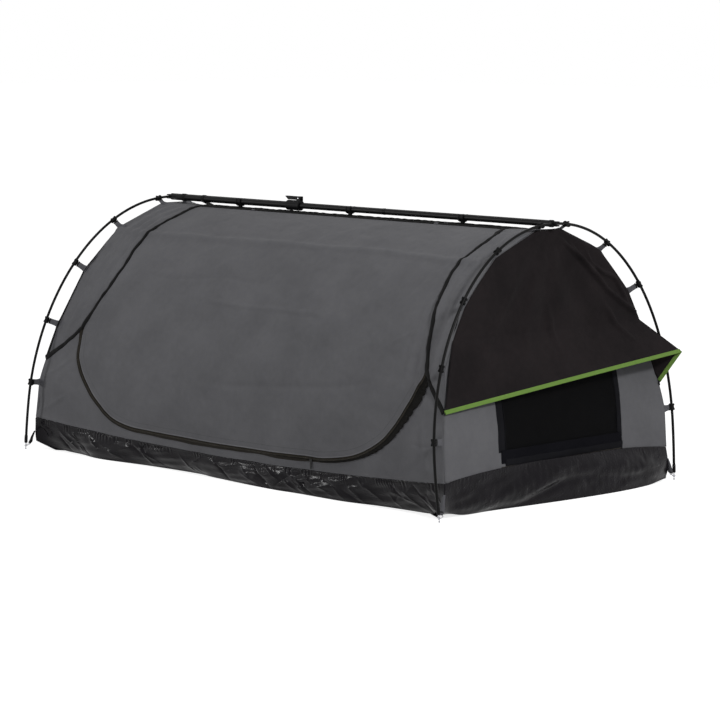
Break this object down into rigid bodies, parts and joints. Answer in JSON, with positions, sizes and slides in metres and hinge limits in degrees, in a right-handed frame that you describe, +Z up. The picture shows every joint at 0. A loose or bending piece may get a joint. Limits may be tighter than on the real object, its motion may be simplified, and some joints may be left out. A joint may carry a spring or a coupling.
{
  "type": "swag bedroll",
  "caption": "Dome swag tent: canvas body clipped to curved hoops and a telescopic ridge pole, zip side doors, window with awning at the head end, PVC tub floor and foam mattress.",
  "frame": {"origin": "middle of the flat underside of the tub's floor, which rests on the ground", "axes": "+X to the head end with the window and awning, -Y to the near side door, +Z up"},
  "size_m": [2.4329, 1.4088, 1.0897],
  "materials": {
    "foot_hoop": "black anodised pole, satin",
    "head_hoop": "black anodised pole, satin",
    "ridge_outer_tube": "black anodised tube, satin",
    "ridge_inner_tube": "black anodised tube, satin",
    "foot_fork": "black moulded nylon",
    "head_fork": "black moulded nylon",
    "ridge_clamp": "black moulded nylon",
    "clamp_lever": "black moulded nylon",
    "ridge_clip_1": "black moulded nylon",
    "ridge_clip_2": "black moulded nylon",
    "ridge_clip_3": "black moulded nylon",
    "clamp_pin": "bright steel pin",
    "foot_near_clip_1": "black nylon clip on grey webbing",
    "foot_near_clip_2": "black nylon clip on grey webbing",
    "foot_near_clip_3": "black nylon clip on grey webbing",
    "foot_near_clip_4": "black nylon clip on grey webbing",
    "foot_near_clip_5": "black nylon clip on grey webbing",
    "foot_far_clip_1": "black nylon clip on grey webbing",
    "foot_far_clip_2": "black nylon clip on grey webbing",
    "foot_far_clip_3": "black nylon clip on grey webbing",
    "foot_far_clip_4": "black nylon clip on grey webbing",
    "foot_far_clip_5": "black nylon clip on grey webbing",
    "head_near_clip_1": "black nylon clip on grey webbing",
    "head_near_clip_2": "black nylon clip on grey webbing",
    "head_near_clip_3": "black nylon clip on grey webbing",
    "head_near_clip_4": "black nylon clip on grey webbing",
    "head_near_clip_5": "black nylon clip on grey webbing",
    "head_far_clip_1": "black nylon clip on grey webbing",
    "head_far_clip_2": "black nylon clip on grey webbing",
    "head_far_clip_3": "black nylon clip on grey webbing",
    "head_far_clip_4": "black nylon clip on grey webbing",
    "head_far_clip_5": "black nylon clip on grey webbing",
    "foot_pin_1": "bright plated steel",
    "foot_pin_2": "bright plated steel",
    "foot_pin_3": "bright plated steel",
    "foot_pin_4": "bright plated steel",
    "foot_ring_1": "bright plated steel",
    "foot_ring_2": "bright plated steel",
    "foot_ring_3": "bright plated steel",
    "foot_ring_4": "bright plated steel",
    "foot_hood": "grey ripstop canvas, matte",
    "head_hood": "grey ripstop canvas, matte",
    "near_wall": "grey ripstop canvas, matte",
    "far_wall": "grey ripstop canvas, matte",
    "ridge_strip": "grey ripstop canvas, matte",
    "near_door_canvas": "grey ripstop canvas, matte",
    "far_door_canvas": "grey ripstop canvas, matte",
    "foot_wall": "grey ripstop canvas, matte",
    "head_wall": "grey ripstop canvas, matte",
    "near_door_mesh": "fine black insect mesh",
    "far_door_mesh": "fine black insect mesh",
    "window_mesh": "fine black insect mesh",
    "window_panel": "near-black canvas, matte",
    "awning_upper": "black canvas, matte",
    "awning_flap": "black canvas, matte",
    "awning_trim": "green webbing",
    "pvc_tub": "black PVC-coated cloth, glossy and crinkled",
    "mattress": "grey cover over foam",
    "near_zip_slider": "black coated zip slider",
    "far_zip_slider": "black coated zip slider"
  },
  "bodies": {
    "shelter": {"foot_hoop": "foot_hoop", "head_hoop": "head_hoop", "ridge_outer_tube": "ridge_outer_tube", "foot_fork": "foot_fork", "ridge_clamp": "ridge_clamp", "ridge_clip_1": "ridge_clip_1", "ridge_clip_2": "ridge_clip_2", "ridge_clip_3": "ridge_clip_3", "clamp_pin": "clamp_pin", "foot_near_clip_1": "foot_near_clip_1", "foot_near_clip_2": "foot_near_clip_2", "foot_near_clip_3": "foot_near_clip_3", "foot_near_clip_4": "foot_near_clip_4", "foot_near_clip_5": "foot_near_clip_5", "foot_far_clip_1": "foot_far_clip_1", "foot_far_clip_2": "foot_far_clip_2", "foot_far_clip_3": "foot_far_clip_3", "foot_far_clip_4": "foot_far_clip_4", "foot_far_clip_5": "foot_far_clip_5", "head_near_clip_1": "head_near_clip_1", "head_near_clip_2": "head_near_clip_2", "head_near_clip_3": "head_near_clip_3", "head_near_clip_4": "head_near_clip_4", "head_near_clip_5": "head_near_clip_5", "head_far_clip_1": "head_far_clip_1", "head_far_clip_2": "head_far_clip_2", "head_far_clip_3": "head_far_clip_3", "head_far_clip_4": "head_far_clip_4", "head_far_clip_5": "head_far_clip_5", "foot_pin_1": "foot_pin_1", "foot_pin_2": "foot_pin_2", "foot_pin_3": "foot_pin_3", "foot_pin_4": "foot_pin_4", "foot_ring_1": "foot_ring_1", "foot_ring_2": "foot_ring_2", "foot_ring_3": "foot_ring_3", "foot_ring_4": "foot_ring_4", "foot_hood": "foot_hood", "head_hood": "head_hood", "near_wall": "near_wall", "far_wall": "far_wall", "ridge_strip": "ridge_strip", "foot_wall": "foot_wall", "head_wall": "head_wall", "window_mesh": "window_mesh", "awning_upper": "awning_upper", "pvc_tub": "pvc_tub", "mattress": "mattress"},
    "near_door": {"near_door_canvas": "near_door_canvas"},
    "near_screen": {"near_door_mesh": "near_door_mesh"},
    "far_door": {"far_door_canvas": "far_door_canvas"},
    "far_screen": {"far_door_mesh": "far_door_mesh"},
    "awning": {"awning_flap": "awning_flap", "awning_trim": "awning_trim"},
    "window_cover": {"window_panel": "window_panel"},
    "ridge_inner": {"ridge_inner_tube": "ridge_inner_tube", "head_fork": "head_fork"},
    "clamp_lever_arm": {"clamp_lever": "clamp_lever"},
    "near_slider": {"near_zip_slider": "near_zip_slider"},
    "far_slider": {"far_zip_slider": "far_zip_slider"}
  },
  "joints": [
    {"name": "near_door_hinge", "type": "hinge", "parent": "shelter", "child": "near_door", "pos_m": [0, -0.03393, 1.01903], "axis": [-1, 0, 0], "range_deg": [0, 85]},
    {"name": "near_screen_hinge", "type": "hinge", "parent": "shelter", "child": "near_screen", "pos_m": [0, -0.03393, 1.01903], "axis": [-1, 0, 0], "range_deg": [0, 85]},
    {"name": "far_door_hinge", "type": "hinge", "parent": "shelter", "child": "far_door", "pos_m": [0, 0.03393, 1.01903], "axis": [1, 0, 0], "range_deg": [0, 85]},
    {"name": "far_screen_hinge", "type": "hinge", "parent": "shelter", "child": "far_screen", "pos_m": [0, 0.03393, 1.01903], "axis": [1, 0, 0], "range_deg": [0, 85]},
    {"name": "awning_hinge", "type": "hinge", "parent": "shelter", "child": "awning", "pos_m": [1.09566, 0, 0.646], "axis": [0, -1, 0], "range_deg": [0, 55]},
    {"name": "window_cover_hinge", "type": "hinge", "parent": "shelter", "child": "window_cover", "pos_m": [1.09304, 0.03, 0.61], "axis": [0, 1, 0], "range_deg": [0, 50]},
    {"name": "ridge_telescope", "type": "slide", "parent": "shelter", "child": "ridge_inner", "axis": [-1, 0, 0], "range_m": [0, 0.25]},
    {"name": "clamp_lever_hinge", "type": "hinge", "parent": "shelter", "child": "clamp_lever_arm", "pos_m": [-0.264, 0, 1.082], "axis": [0, 1, 0], "range_deg": [0, 110]},
    {"name": "near_zip", "type": "slide", "parent": "shelter", "child": "near_slider", "axis": [-0.9996, 0.01, -0.0246], "range_m": [0, 0.35]},
    {"name": "far_zip", "type": "slide", "parent": "shelter", "child": "far_slider", "axis": [-0.9996, -0.01, -0.0246], "range_m": [0, 0.35]}
  ],
  "couplings": [
    {"joint": "near_screen_hinge", "follows": "near_door_hinge", "ratio": 1},
    {"joint": "far_screen_hinge", "follows": "far_door_hinge", "ratio": 1}
  ]
}
